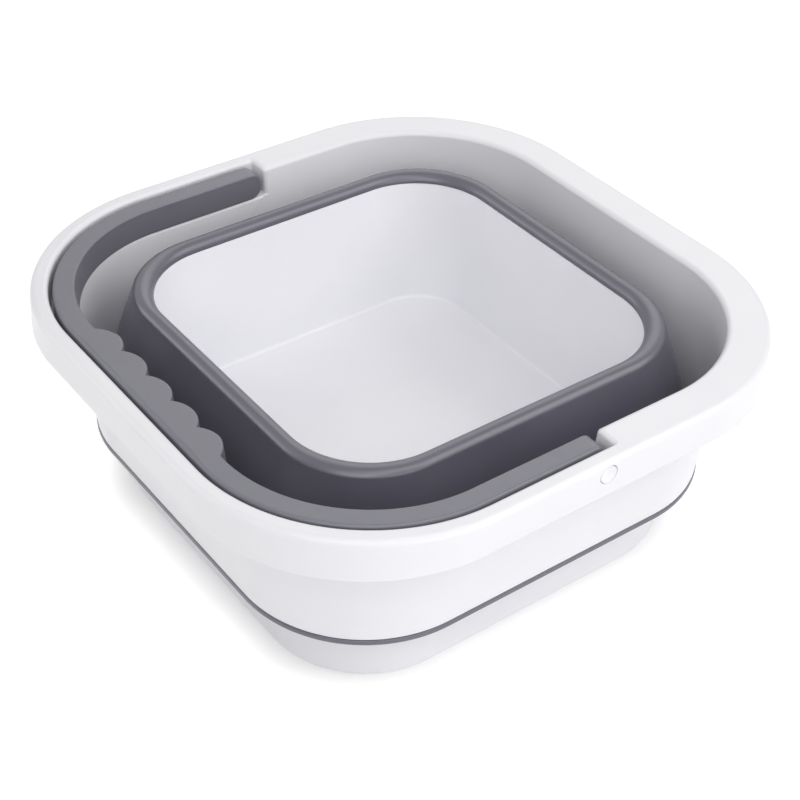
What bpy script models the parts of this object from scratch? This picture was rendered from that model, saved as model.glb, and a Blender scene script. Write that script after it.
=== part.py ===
"""A square collapsible bucket, folded flat, with its bail handle laid in the rim.

+Z is up and the origin is on the ground under the middle of the bucket. The handle lies in the -X half of the
rim and turns about Y. The rim rises from the tub along +Z while the soft sleeve between them unrolls.
"""

import math

import bmesh
import bpy
from mathutils import Vector

for old in list(bpy.data.objects):
    bpy.data.objects.remove(old)

# Tub: an inner wall and floor, with an outer wall that hangs from the top edge and stands on the ground
TUB_HEIGHT = 0.1105
TUB_MOUTH_HALF = 0.0972
TUB_MOUTH_CORNER = 0.0419
TUB_FLOOR_LEVEL = 0.0357
TUB_FLOOR_IN = 0.0034
TUB_FLOOR_CORNER_LOSS = 0.0134
TUB_FLOOR_FILLET = 0.0053
TUB_WALL = 0.0020
TUB_FLOOR_THICKNESS = 0.0022
TUB_EDGE_WIDTH = 0.0064
TUB_EDGE_CORNER_GAIN = 0.0027
FOOT_FLARE = 0.0080
FOOT_CORNER_GAIN = 0.0072
FOOT_ROUNDING = 0.0008
TUB_WEB_THICKNESS = 0.0016
TUB_WEBS_PER_SIDE = 3
TUB_WEB_SPACING = 0.0400
TUB_WEB_TOP_GAP = 0.0120

# Rim frame: a flat flange with an outer skirt and a tapered wall, and a recess for the handle
RIM_ABOVE_TUB = 0.0105
FOLD_ROOM = 0.0373
RIM_CORNER = 0.0965
RIM_WALL = 0.0022
RIM_EDGE_ROUNDING = 0.0030
FLANGE_WIDTH = 0.0205
FLANGE_INNER_ROUNDING = 0.0030
SKIRT_BELOW_TROUGH = 0.0029
SKIRT_TAPER = 0.0014
SKIRT_CORNER_LOSS = 0.0085
WALL_DEPTH = 0.0815
WALL_TAPER = 0.0091
WALL_CORNER_LOSS = 0.0127
LIP_WIDTH = 0.0086
RECESS_DEPTH = 0.0157
RECESS_END = 0.0095
RIM_WEB_THICKNESS = 0.0016
RIM_WEBS_PER_SIDE = 3
RIM_WEB_SPACING = 0.0450
RIM_WEB_RISE = 0.0020

# Sleeve: a soft wall with a hem under the rim's wall and a rounded crest over the tub's top edge
SLEEVE_WALL = 0.0018
HEM_HEIGHT = 0.0030
HEM_PROUD = 0.0004
CREST_PROUD = 0.0032
CREST_OVERLAP = 0.0070
CREST_SLOPE = math.radians(20)

# Handle: a bar bent to the rim's outline, with finger bumps on its inner edge and pockets moulded below
BAR_WIDTH = 0.0107
BAR_GAP = 0.0020
BAR_BELOW_LIP = 0.0012
BAR_ABOVE_LEDGE = 0.0005
BAR_EDGE = 0.0008
BAR_EYE_WALL = 0.0032
BAR_END_ROUNDING = 0.0050
BUMP_COUNT = 5
BUMP_PITCH = 0.0225
BUMP_HEIGHT = 0.0050
GRIP_SWELL = 0.0017
POCKET_COUNT = 18
POCKET_RIB = 0.0018
POCKET_SKIN = 0.0026
POCKET_WALL = 0.0024
POCKET_FROM_PIVOT = 0.0140

# Pins: each goes in through the skirt and ends inside the handle
PIN_RADIUS = 0.0030
PIN_HEAD_RADIUS = 0.0045
PIN_HEAD_THICKNESS = 0.0018
PIN_HEAD_CHAMFER = 0.0004
PIN_HEAD_DISH = 0.0005
PIN_SUNK = 0.0002
PIN_SKIN = 0.0024
PIN_BOSS_WALL = 0.0018

# Clearances
BOND_GAP = 0.0003
PIN_GAP = 0.0003
PIN_HEAD_GAP = 0.0003

# Fineness of the round shapes
CORNER_STEPS = 12
EDGE_STEPS = 3
CREST_STEPS = 8
SLEEVE_STEPS = 8
BUMP_STEPS = 8
PIN_STEPS = 28
BAR_END_STEPS = 5
STATION_GAP = 0.0005

# Levels and outlines that the pieces share, from the tub's mouth outwards
TUB_FLOOR_HALF = TUB_MOUTH_HALF - TUB_FLOOR_IN
TUB_FLOOR_CORNER = TUB_MOUTH_CORNER - TUB_FLOOR_CORNER_LOSS
TUB_EDGE_HALF = TUB_MOUTH_HALF + TUB_EDGE_WIDTH
TUB_EDGE_CORNER = TUB_MOUTH_CORNER + TUB_EDGE_CORNER_GAIN
FOOT_HALF = TUB_EDGE_HALF + FOOT_FLARE
FOOT_CORNER = TUB_EDGE_CORNER + FOOT_CORNER_GAIN
CREST_RADIUS = (TUB_EDGE_WIDTH + CREST_PROUD) / 2
MOUTH_HALF = TUB_MOUTH_HALF + FOLD_ROOM
RIM_HALF = MOUTH_HALF + FLANGE_WIDTH
CORNER_AXIS = RIM_HALF - RIM_CORNER
SKIRT_HALF = RIM_HALF - SKIRT_TAPER
SKIRT_CORNER = RIM_CORNER - SKIRT_CORNER_LOSS
WALL_FOOT_HALF = MOUTH_HALF + RIM_WALL - WALL_TAPER
WALL_FOOT_CORNER = MOUTH_HALF + RIM_WALL - CORNER_AXIS - WALL_CORNER_LOSS
RECESS_HALF = RIM_HALF - LIP_WIDTH
RIM_TOP = TUB_HEIGHT + RIM_ABOVE_TUB
LEDGE = RIM_TOP - RECESS_DEPTH
SKIRT_FOOT = LEDGE - RIM_WALL - SKIRT_BELOW_TROUGH
WALL_FOOT = RIM_TOP - WALL_DEPTH
BAR_OUTER_HALF = RECESS_HALF - BAR_GAP
BAR_INNER_HALF = BAR_OUTER_HALF - BAR_WIDTH
BAR_TOP = RIM_TOP - BAR_BELOW_LIP
BAR_BOTTOM = LEDGE + BAR_ABOVE_LEDGE
BAR_INNER_FOOT_HALF = BAR_INNER_HALF - (BAR_TOP - BAR_BOTTOM) * WALL_TAPER / WALL_DEPTH
PIVOT_HEIGHT = (BAR_TOP + BAR_BOTTOM) / 2
BAR_END_RADIUS = (BAR_TOP - BAR_BOTTOM) / 2
BAR_END_REACH = PIN_RADIUS + PIN_GAP + BAR_EYE_WALL
HEM_TOP = WALL_FOOT - BOND_GAP
HEM_FOOT = HEM_TOP - HEM_HEIGHT


def material(name, colour, roughness):
    made = bpy.data.materials.new(name)
    made.use_nodes = True
    shader = made.node_tree.nodes["Principled BSDF"]
    shader.inputs["Base Color"].default_value = (*colour, 1)
    shader.inputs["Roughness"].default_value = roughness
    shader.inputs["Metallic"].default_value = 0
    made.diffuse_color = (*colour, 1)
    return made


def skin(loops, ring=False):
    """A mesh stretched over closed loops of points: its ends are filled in, or joined where it is a ring."""
    mesh = bmesh.new()
    rows = [[mesh.verts.new(point) for point in loop] for loop in loops]
    pairs = list(zip(rows, rows[1:]))
    if ring:
        pairs.append((rows[-1], rows[0]))
    else:
        mesh.faces.new(rows[0])
        mesh.faces.new(rows[-1])
    for low, high in pairs:
        for i in range(len(low)):
            j = (i + 1) % len(low)
            mesh.faces.new((low[i], low[j], high[j], high[i]))
    bmesh.ops.triangulate(mesh, faces=mesh.faces[:])
    bmesh.ops.recalc_face_normals(mesh, faces=mesh.faces[:])
    return mesh


def joined(meshes):
    """One mesh that holds several separate ones."""
    whole = bmesh.new()
    for mesh in meshes:
        part = bpy.data.meshes.new("part")
        mesh.to_mesh(part)
        mesh.free()
        whole.from_mesh(part)
        bpy.data.meshes.remove(part)
    return whole


def add(name, mesh, finish=None, origin=(0, 0, 0), parent=None):
    """Puts a mesh made in the bucket's frame into the scene, with its own origin and parent."""
    bmesh.ops.translate(mesh, verts=mesh.verts[:], vec=-Vector(origin))
    data = bpy.data.meshes.new(name)
    mesh.to_mesh(data)
    mesh.free()
    piece = bpy.data.objects.new(name, data)
    bpy.context.scene.collection.objects.link(piece)
    if finish:
        data.materials.append(finish)
        data.shade_smooth()
        data.set_sharp_from_angle(angle=math.radians(30))
    if parent:
        piece.parent = parent
        origin = Vector(origin) - parent.matrix_world.translation
    piece.location = origin
    return piece


def cut_or_join(piece, name, mesh, operation):
    """Adds a Boolean to the piece, with a helper object that isn't rendered."""
    helper = add(name, mesh)
    helper.hide_render = True
    helper.display_type = "WIRE"
    modifier = piece.modifiers.new(name, "BOOLEAN")
    modifier.operation = operation
    modifier.object = helper


def empty(name, place, parent=None):
    made = bpy.data.objects.new(name, None)
    bpy.context.scene.collection.objects.link(made)
    made.parent = parent
    made.location = Vector(place) - (parent.matrix_world.translation if parent else Vector())
    bpy.context.view_layer.update()
    return made


def outline(half, corner, z):
    """A square with round corners, as one loop of points at a height."""
    axis = half - corner
    points = []
    for quarter, (side_x, side_y) in enumerate(((1, 1), (-1, 1), (-1, -1), (1, -1))):
        for step in range(CORNER_STEPS + 1):
            angle = (quarter + step / CORNER_STEPS) * math.pi / 2
            x = side_x * axis + corner * math.cos(angle)
            y = side_y * axis + corner * math.sin(angle)
            points.append((x, y, z))
    return points


def circle(radius, y, x, z):
    angles = [2 * math.pi * i / PIN_STEPS for i in range(PIN_STEPS)]
    return [(x + radius * math.cos(a), y, z + radius * math.sin(a)) for a in angles]


def turned(profile, side, x, z):
    """A solid turned about a line along Y at x, z, from a profile of (radius, distance from the middle)."""
    return skin([circle(radius, side * reach, x, z) for radius, reach in profile])


def arc(centre_half, centre_z, radius, start, end, steps):
    """Points (half width, height) on a round edge between two angles, measured from outward."""
    points = []
    for step in range(steps + 1):
        angle = start + (end - start) * step / steps
        points.append((centre_half + radius * math.cos(angle), centre_z + radius * math.sin(angle)))
    return points


def between(a, b, share):
    return a + (b - a) * share


def tub_outer(z):
    """Half width and corner of the tub's outer wall, on its outside, at a height."""
    share = z / TUB_HEIGHT
    return between(FOOT_HALF, TUB_EDGE_HALF, share), between(FOOT_CORNER, TUB_EDGE_CORNER, share)


def tub_inner(z):
    """Half width and corner of the tub's inner wall, on its inside, at a height."""
    share = (z - TUB_FLOOR_LEVEL) / (TUB_HEIGHT - TUB_FLOOR_LEVEL)
    return between(TUB_FLOOR_HALF, TUB_MOUTH_HALF, share), between(TUB_FLOOR_CORNER, TUB_MOUTH_CORNER, share)


def side_reach(half, corner, shift):
    """How far out an outline is, this far along from the middle of a side."""
    past = max(abs(shift) - (half - corner), 0)
    return half - corner + math.sqrt(corner ** 2 - past ** 2)


def corner_reach(half, corner):
    return (half - corner) * math.sqrt(2) + corner


def web(normal, shift, ends, thickness):
    """A thin upright plate square to a side. ends are its lower and upper (inner reach, outer reach, z)."""
    across = Vector((-normal.y, normal.x)) * thickness / 2
    loops = []
    for inner, outer, z in ends:
        near = normal * inner + shift
        far = normal * outer + shift
        loops.append([(x, y, z) for x, y in (near - across, far - across, far + across, near + across)])
    return skin(loops)


def webs(levels, per_side, spacing, thickness):
    """Webs across a hollow, evenly along each side and one at each corner, as one mesh.

    levels are its lower and upper (inner outline, outer outline, z), an outline being (half width, corner).
    """
    plates = []
    for quarter in range(4):
        turn = quarter * math.pi / 2
        normal = Vector((math.cos(turn), math.sin(turn)))
        along = Vector((-normal.y, normal.x))
        for i in range(per_side):
            shift = (i - (per_side - 1) / 2) * spacing
            ends = [(side_reach(*inner, shift), side_reach(*outer, shift), z) for inner, outer, z in levels]
            plates.append(web(normal, along * shift, ends, thickness))
        ends = [(corner_reach(*inner), corner_reach(*outer), z) for inner, outer, z in levels]
        plates.append(web((normal + along).normalized(), Vector((0, 0)), ends, thickness))
    return joined(plates)


def build_tub(finish):
    floor_under = TUB_FLOOR_LEVEL - TUB_FLOOR_THICKNESS
    edge_under = TUB_HEIGHT - TUB_WALL
    fillet_top = TUB_FLOOR_LEVEL + TUB_FLOOR_FILLET
    fillet_half, fillet_corner = tub_inner(fillet_top)
    fillet_middle = fillet_half - TUB_FLOOR_FILLET
    fillet = arc(fillet_middle, fillet_top, TUB_FLOOR_FILLET, -math.pi / 2, 0, EDGE_STEPS)
    edge_inner_half, edge_inner_corner = tub_inner(edge_under)
    edge_outer_half, edge_outer_corner = tub_outer(edge_under)
    floor_half, floor_corner = tub_inner(floor_under)
    section = [(half, half - fillet_half + fillet_corner, z) for half, z in fillet]
    section += [
        (TUB_MOUTH_HALF, TUB_MOUTH_CORNER, TUB_HEIGHT),
        (TUB_EDGE_HALF, TUB_EDGE_CORNER, TUB_HEIGHT),
        (FOOT_HALF, FOOT_CORNER, FOOT_ROUNDING),
        (FOOT_HALF - FOOT_ROUNDING, FOOT_CORNER - FOOT_ROUNDING, 0),
        (FOOT_HALF - TUB_WALL, FOOT_CORNER - TUB_WALL, 0),
        (edge_outer_half - TUB_WALL, edge_outer_corner - TUB_WALL, edge_under),
        (edge_inner_half + TUB_WALL, edge_inner_corner + TUB_WALL, edge_under),
        (floor_half + TUB_WALL, floor_corner + TUB_WALL, floor_under),
    ]
    tub = add("base_tub", skin([outline(*level) for level in section]), finish)

    levels = []
    for z in (TUB_FLOOR_LEVEL, edge_under - TUB_WEB_TOP_GAP):
        inner_middle = [size + TUB_WALL / 2 for size in tub_inner(z)]
        outer_middle = [size - TUB_WALL / 2 for size in tub_outer(z)]
        levels.append((inner_middle, outer_middle, z))
    plates = webs(levels, TUB_WEBS_PER_SIDE, TUB_WEB_SPACING, TUB_WEB_THICKNESS)
    cut_or_join(tub, "tub_webs", plates, "UNION")
    return tub


def build_sleeve(finish):
    hem_half = WALL_FOOT_HALF + HEM_PROUD
    hem_axis = WALL_FOOT_HALF - WALL_FOOT_CORNER
    root_half = WALL_FOOT_HALF - RIM_WALL - BOND_GAP
    crest_half = TUB_MOUTH_HALF + CREST_RADIUS
    seat = TUB_HEIGHT + BOND_GAP
    mouth_axis = TUB_MOUTH_HALF - TUB_MOUTH_CORNER
    edge_axis = TUB_EDGE_HALF - TUB_EDGE_CORNER

    crest = arc(crest_half, seat, CREST_RADIUS, CREST_SLOPE, math.pi, CREST_STEPS)
    start = Vector((root_half, HEM_TOP))
    end = Vector(crest[0])
    bend_drop = (end.y - start.y) / 2
    bend = end + Vector((bend_drop * math.tan(CREST_SLOPE), -bend_drop))
    outside = []
    for step in range(SLEEVE_STEPS):
        t = step / SLEEVE_STEPS
        outside.append(start * (1 - t) ** 2 + bend * 2 * t * (1 - t) + end * t ** 2)

    grip_z = TUB_HEIGHT - CREST_OVERLAP
    grip_half, grip_corner = tub_outer(grip_z)
    grip = (grip_half + BOND_GAP, grip_corner + BOND_GAP, grip_z)
    inside = [point for point in outside[1:] if point.y < grip_z - 2 * SLEEVE_WALL]

    def spread(half):
        """How far out the corner's axis is: it moves out from the tub's mouth to the tub's outer wall."""
        share = min(max((half - TUB_MOUTH_HALF) / TUB_EDGE_WIDTH, 0), 1)
        return between(mouth_axis, edge_axis, share)

    def wall_axis(z):
        return between(hem_axis, edge_axis, (z - HEM_TOP) / (grip_z - HEM_TOP))

    section = [(hem_half, hem_half - hem_axis, HEM_FOOT), (hem_half, hem_half - hem_axis, HEM_TOP)]
    section += [(point.x, point.x - wall_axis(point.y), point.y) for point in outside]
    section += [(half, half - spread(half), z) for half, z in crest]
    section += [(TUB_EDGE_HALF + BOND_GAP, TUB_EDGE_CORNER + BOND_GAP, seat), grip]
    for point in reversed(inside):
        half = point.x - SLEEVE_WALL
        section.append((half, half - wall_axis(point.y), point.y))
    root_inside = root_half - SLEEVE_WALL
    section.append((root_inside, root_inside - hem_axis, HEM_FOOT))
    return add("fold_sleeve", skin([outline(*level) for level in section], ring=True), finish)


def bail_point(s, half):
    """The plan point at a distance s along the bar from the +Y pin, on the outline this far out."""
    arc_length = (BAR_OUTER_HALF - BAR_WIDTH / 2 - CORNER_AXIS) * math.pi / 2
    turn = half - CORNER_AXIS
    if s < CORNER_AXIS:
        return -s, half
    s -= CORNER_AXIS
    if s < arc_length:
        angle = math.pi / 2 * (1 + s / arc_length)
        return -CORNER_AXIS + turn * math.cos(angle), CORNER_AXIS + turn * math.sin(angle)
    s -= arc_length
    if s < 2 * CORNER_AXIS:
        return -half, CORNER_AXIS - s
    s -= 2 * CORNER_AXIS
    if s < arc_length:
        angle = math.pi / 2 * (2 + s / arc_length)
        return -CORNER_AXIS + turn * math.cos(angle), -CORNER_AXIS + turn * math.sin(angle)
    return -CORNER_AXIS + s - arc_length, -half


def bail_marks():
    """Distances along the middle line: both pins, and the ends of both corners."""
    arc_length = (BAR_OUTER_HALF - BAR_WIDTH / 2 - CORNER_AXIS) * math.pi / 2
    first = CORNER_AXIS
    second = first + arc_length
    third = second + 2 * CORNER_AXIS
    fourth = third + arc_length
    return first, second, third, fourth, fourth + CORNER_AXIS


def bail_stations(reach, grip_stations=()):
    """Distances along the bail where a solid has a section, reaching past both pins."""
    first, second, third, fourth, length = bail_marks()
    stations = [between(first, second, i / CORNER_STEPS) for i in range(CORNER_STEPS + 1)]
    stations += [between(third, fourth, i / CORNER_STEPS) for i in range(CORNER_STEPS + 1)]
    if grip_stations:
        before = grip_stations[0] - STATION_GAP
        after = grip_stations[-1] + STATION_GAP
        stations = sorted([s for s in stations if s < before or s > after] + grip_stations)
    return [-reach] + stations + [length + reach]


def along_bail(section, stations):
    """A solid with one section of (half width, z) all along the bail."""
    return skin([[(*bail_point(s, half), z) for half, z in section] for s in stations])


def box_section(inner, outer, low, high):
    return [(inner, low), (outer, low), (outer, high), (inner, high)]


def bump_rise(from_middle):
    """How far the finger bumps stand in from the bar's inner edge, this far along from the grip's middle."""
    grip_half = BUMP_COUNT * BUMP_PITCH / 2
    if abs(from_middle) >= grip_half:
        return 0
    radius = (BUMP_PITCH ** 2 / 4 + BUMP_HEIGHT ** 2) / (2 * BUMP_HEIGHT)
    off_bump = (from_middle + grip_half) % BUMP_PITCH - BUMP_PITCH / 2
    bump = math.sqrt(radius ** 2 - off_bump ** 2) - (radius - BUMP_HEIGHT)
    swell = GRIP_SWELL * min(1, 2 * (grip_half - abs(from_middle)) / BUMP_PITCH)
    return bump + swell


def bar_end():
    """Points (reach past the pivot, height above it) over the rounded top of the bar's end.

    The underside is round about the pivot instead, so that it clears the ledge as the handle turns.
    """
    flat = BAR_END_REACH - BAR_END_ROUNDING
    corner_z = BAR_END_RADIUS - BAR_END_ROUNDING
    return arc(flat, corner_z, BAR_END_ROUNDING, math.pi / 2, 0, BAR_END_STEPS)


def build_handle(finish, origin, parent):
    length = bail_marks()[-1]
    inner, outer = BAR_INNER_HALF, BAR_OUTER_HALF
    section = [
        (inner + BAR_EDGE, BAR_TOP),
        (outer - BAR_EDGE, BAR_TOP),
        (outer, BAR_TOP - BAR_EDGE),
        (outer, BAR_BOTTOM + BAR_EDGE),
        (outer - BAR_EDGE, BAR_BOTTOM),
        (BAR_INNER_FOOT_HALF + BAR_EDGE, BAR_BOTTOM),
        (BAR_INNER_FOOT_HALF, BAR_BOTTOM + BAR_EDGE),
        (inner, BAR_TOP - BAR_EDGE),
    ]
    steps = BUMP_COUNT * BUMP_STEPS
    grip = [length / 2 + (i / steps - 0.5) * BUMP_COUNT * BUMP_PITCH for i in range(steps + 1)]

    def loop(s, up, down):
        """The section at s along the bail, drawn in to this far above and below the pivot."""
        points = []
        for half, z in section:
            if half < inner + 2 * BAR_EDGE:
                half -= bump_rise(s - length / 2)
            height = z - PIVOT_HEIGHT
            height *= (up if height > 0 else down) / BAR_END_RADIUS
            points.append((*bail_point(s, half), PIVOT_HEIGHT + height))
        return points

    ends = []
    for reach, up in bar_end():
        ends.append((reach, up, math.sqrt(BAR_END_RADIUS ** 2 - reach ** 2)))
    loops = [loop(-reach, up, down) for reach, up, down in reversed(ends)]
    loops += [loop(s, BAR_END_RADIUS, BAR_END_RADIUS) for s in bail_stations(0, grip)]
    loops += [loop(length + reach, up, down) for reach, up, down in ends]
    handle = add("carry_handle", skin(loops), finish, origin, parent)

    bore = (
        (PIN_RADIUS + PIN_GAP, inner + PIN_SKIN),
        (PIN_RADIUS + PIN_GAP, outer + BAR_GAP),
    )
    bores = [turned(bore, side_y, 0, PIVOT_HEIGHT) for side_y in (1, -1)]
    cut_or_join(handle, "handle_bores", joined(bores), "DIFFERENCE")

    pockets = []
    pocket_section = box_section(
        inner + POCKET_WALL, outer - POCKET_WALL, BAR_BOTTOM - POCKET_SKIN, BAR_TOP - POCKET_SKIN
    )
    pitch = (length - 2 * POCKET_FROM_PIVOT + POCKET_RIB) / POCKET_COUNT
    for i in range(POCKET_COUNT):
        start = POCKET_FROM_PIVOT + i * pitch
        end = start + pitch - POCKET_RIB
        pockets.append(along_bail(pocket_section, [between(start, end, j / 3) for j in range(4)]))
    cut_or_join(handle, "handle_pockets", joined(pockets), "DIFFERENCE")
    return handle


def skirt_outer(z):
    """Half width and corner of the skirt, on its outside, at a height."""
    top = RIM_TOP - RIM_EDGE_ROUNDING
    share = (top - z) / (top - SKIRT_FOOT)
    return between(RIM_HALF, SKIRT_HALF, share), between(RIM_CORNER, SKIRT_CORNER, share)


def wall_outer(z):
    """Half width and corner of the rim's tapered wall, on its outside, at a height."""
    share = (z - WALL_FOOT) / (WALL_DEPTH - RIM_WALL)
    half = MOUTH_HALF + RIM_WALL
    return between(WALL_FOOT_HALF, half, share), between(WALL_FOOT_CORNER, half - CORNER_AXIS, share)


def build_rim(finish, origin, parent):
    def level(half, z):
        return half, half - CORNER_AXIS, z

    outer, inner = RIM_EDGE_ROUNDING, FLANGE_INNER_ROUNDING
    outer_edge = arc(RIM_HALF - outer, RIM_TOP - outer, outer, 0, math.pi / 2, EDGE_STEPS)
    inner_edge = arc(MOUTH_HALF + inner, RIM_TOP - inner, inner, math.pi / 2, math.pi, EDGE_STEPS)
    section = [(SKIRT_HALF, SKIRT_CORNER, SKIRT_FOOT)]
    section += [level(half, z) for half, z in outer_edge + inner_edge]
    section += [
        (WALL_FOOT_HALF - RIM_WALL, WALL_FOOT_CORNER - RIM_WALL, WALL_FOOT),
        (WALL_FOOT_HALF, WALL_FOOT_CORNER, WALL_FOOT),
        level(MOUTH_HALF + RIM_WALL, RIM_TOP - RIM_WALL),
        level(RIM_HALF - RIM_WALL, RIM_TOP - RIM_WALL),
        (SKIRT_HALF - RIM_WALL, SKIRT_CORNER - RIM_WALL, SKIRT_FOOT),
    ]
    rim = add("rim_frame", skin([outline(*step) for step in section], ring=True), finish, origin, parent)

    levels = []
    for z in (SKIRT_FOOT + RIM_WEB_RISE, RIM_TOP - RIM_WALL / 2):
        wall_middle = [size - RIM_WALL / 2 for size in wall_outer(z)]
        skirt_middle = [size - RIM_WALL / 2 for size in skirt_outer(z)]
        levels.append((wall_middle, skirt_middle, z))
    plates = webs(levels, RIM_WEBS_PER_SIDE, RIM_WEB_SPACING, RIM_WEB_THICKNESS)
    cut_or_join(rim, "rim_webs", plates, "UNION")

    trough_under = LEDGE - RIM_WALL
    trough_inner = wall_outer(trough_under)[0] - RIM_WALL / 2
    trough = box_section(trough_inner, RECESS_HALF + RIM_WALL, trough_under, RIM_TOP - RIM_WALL / 2)
    cut_or_join(rim, "recess_trough", along_bail(trough, bail_stations(RECESS_END + RIM_WALL)), "UNION")

    face = skirt_outer(PIVOT_HEIGHT)[0]
    boss_half = PIN_HEAD_RADIUS + PIN_HEAD_GAP + PIN_BOSS_WALL
    boss = box_section(-boss_half, boss_half, PIVOT_HEIGHT - boss_half, RIM_TOP - RIM_WALL / 2)
    bosses = []
    for side in (1, -1):
        ends = (RECESS_HALF + RIM_WALL / 2, face - RIM_WALL / 2)
        bosses.append(skin([[(x, side * reach, z) for x, z in boss] for reach in ends]))
    cut_or_join(rim, "pin_bosses", joined(bosses), "UNION")

    recess = box_section(MOUTH_HALF - 2 * BAR_WIDTH, RECESS_HALF, LEDGE, RIM_TOP + RECESS_DEPTH)
    cut_or_join(rim, "handle_recess", along_bail(recess, bail_stations(RECESS_END)), "DIFFERENCE")

    seat = face - PIN_SUNK - PIN_HEAD_THICKNESS - PIN_HEAD_GAP
    hole = (
        (PIN_RADIUS + PIN_GAP, RECESS_HALF - BAR_GAP),
        (PIN_RADIUS + PIN_GAP, seat),
        (PIN_HEAD_RADIUS + PIN_HEAD_GAP, seat),
        (PIN_HEAD_RADIUS + PIN_HEAD_GAP, RIM_HALF + RIM_WALL),
    )
    holes = [turned(hole, side, 0, PIVOT_HEIGHT) for side in (1, -1)]
    cut_or_join(rim, "pin_holes", joined(holes), "DIFFERENCE")
    return rim


def build_pin(name, side, finish, parent):
    face = skirt_outer(PIVOT_HEIGHT)[0] - PIN_SUNK
    tip = BAR_INNER_HALF + PIN_SKIN + PIN_GAP
    profile = (
        (PIN_RADIUS - PIN_HEAD_CHAMFER, tip),
        (PIN_RADIUS, tip + PIN_HEAD_CHAMFER),
        (PIN_RADIUS, face - PIN_HEAD_THICKNESS),
        (PIN_HEAD_RADIUS, face - PIN_HEAD_THICKNESS),
        (PIN_HEAD_RADIUS, face - PIN_HEAD_CHAMFER),
        (PIN_HEAD_RADIUS - PIN_HEAD_CHAMFER, face),
        (PIN_HEAD_RADIUS / 2, face - PIN_HEAD_DISH),
    )
    origin = (0, side * face, PIVOT_HEIGHT)
    return add(name, turned(profile, side, 0, PIVOT_HEIGHT), finish, origin, parent)


white_plastic = material("white_plastic", (0.86, 0.86, 0.87), 0.32)
grey_soft = material("grey_soft_plastic", (0.19, 0.19, 0.22), 0.5)
grey_handle = material("grey_handle_plastic", (0.22, 0.22, 0.24), 0.4)

rim_lift = empty("rim_lift", (0, 0, RIM_TOP))
handle_pivot = empty("handle_pivot", (0, 0, PIVOT_HEIGHT), rim_lift)

build_tub(white_plastic)
build_sleeve(grey_soft)
build_rim(white_plastic, (0, 0, RIM_TOP), rim_lift)
build_handle(grey_handle, (0, 0, PIVOT_HEIGHT), handle_pivot)
build_pin("pivot_pin_front", -1, white_plastic, rim_lift)
build_pin("pivot_pin_back", 1, white_plastic, rim_lift)
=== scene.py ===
"""The looks of a square collapsible bucket: white rim and tub, grey folding sleeve, grey bail handle.

Metres, +Z up. The handle lies in the -X half of the rim and turns about Y.
"""

import math

import bmesh
import bpy
from mathutils import Matrix, Vector


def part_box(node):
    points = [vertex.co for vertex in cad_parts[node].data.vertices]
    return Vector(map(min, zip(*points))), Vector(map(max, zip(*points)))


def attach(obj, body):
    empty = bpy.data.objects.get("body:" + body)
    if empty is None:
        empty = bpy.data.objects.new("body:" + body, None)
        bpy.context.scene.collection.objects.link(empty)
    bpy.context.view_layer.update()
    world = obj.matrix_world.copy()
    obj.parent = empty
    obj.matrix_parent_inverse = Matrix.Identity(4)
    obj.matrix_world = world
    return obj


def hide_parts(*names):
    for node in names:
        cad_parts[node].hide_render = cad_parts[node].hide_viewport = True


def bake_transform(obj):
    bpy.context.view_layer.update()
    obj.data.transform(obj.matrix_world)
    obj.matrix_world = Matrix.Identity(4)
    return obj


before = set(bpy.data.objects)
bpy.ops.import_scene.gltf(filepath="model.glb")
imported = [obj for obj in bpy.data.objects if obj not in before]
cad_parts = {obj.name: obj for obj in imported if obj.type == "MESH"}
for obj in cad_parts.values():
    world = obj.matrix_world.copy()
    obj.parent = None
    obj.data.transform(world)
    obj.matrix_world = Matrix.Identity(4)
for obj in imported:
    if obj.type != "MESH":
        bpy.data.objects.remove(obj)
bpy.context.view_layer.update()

# Tub
# One moulding in white polypropylene: a bowl, and an outer wall that hangs from its edge to the ground. Both
# walls draft towards the open hollow below, and upright webs tie them together.

TUB_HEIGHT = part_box("base_tub")[1].z
FOOT_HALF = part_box("base_tub")[1].x
FOOT_AXIS = 0.0598
TUB_OUTER_DRAFT = 0.0080
TUB_EDGE_HALF = FOOT_HALF - TUB_OUTER_DRAFT
TUB_EDGE_AXIS = 0.0590
TUB_EDGE_WIDTH = 0.0064
TUB_MOUTH_HALF = TUB_EDGE_HALF - TUB_EDGE_WIDTH
TUB_MOUTH_AXIS = 0.0553
TUB_INNER_DRAFT = 0.0034
TUB_FLOOR_HALF = TUB_MOUTH_HALF - TUB_INNER_DRAFT
TUB_FLOOR_AXIS = 0.0653
TUB_FLOOR_LEVEL = 0.0357
TUB_FLOOR_FILLET = 0.0020
TUB_FLOOR_THICKNESS = 0.0022
TUB_WALL = 0.0020
TUB_EDGE_ROUNDING = 0.0005
FOOT_ROUNDING = 0.0008
TUB_WEB_THICKNESS = 0.0016
TUB_WEBS_PER_SIDE = 3
TUB_WEB_SPACING = 0.0400
TUB_WEB_TOP_GAP = 0.0120
CORNER_STEPS = 32
ARC_STEP = math.radians(10)
SMOOTH_UP_TO = math.radians(32)
MERGE_WITHIN = 0.00001
LEAST_ARC_STEPS = 3
CLOUD_SIZE = 0.04
SHEEN_SIZE = 0.006
NOISE_MIDDLE = (0.3, 0.7)


class Field:
    """One output of a node, with sums that add Math nodes to its tree."""

    def __init__(self, tree, socket):
        self.tree = tree
        self.socket = socket

    def math(self, operation, other=None):
        made = self.tree.nodes.new("ShaderNodeMath")
        made.operation = operation
        plug(self, made.inputs[0])
        if other is not None:
            plug(other, made.inputs[1])
        return Field(self.tree, made.outputs[0])

    def __add__(self, other):
        return self.math("ADD", other)

    def __sub__(self, other):
        return self.math("SUBTRACT", other)

    def __mul__(self, other):
        return self.math("MULTIPLY", other)

    def __truediv__(self, other):
        return self.math("DIVIDE", other)


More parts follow.
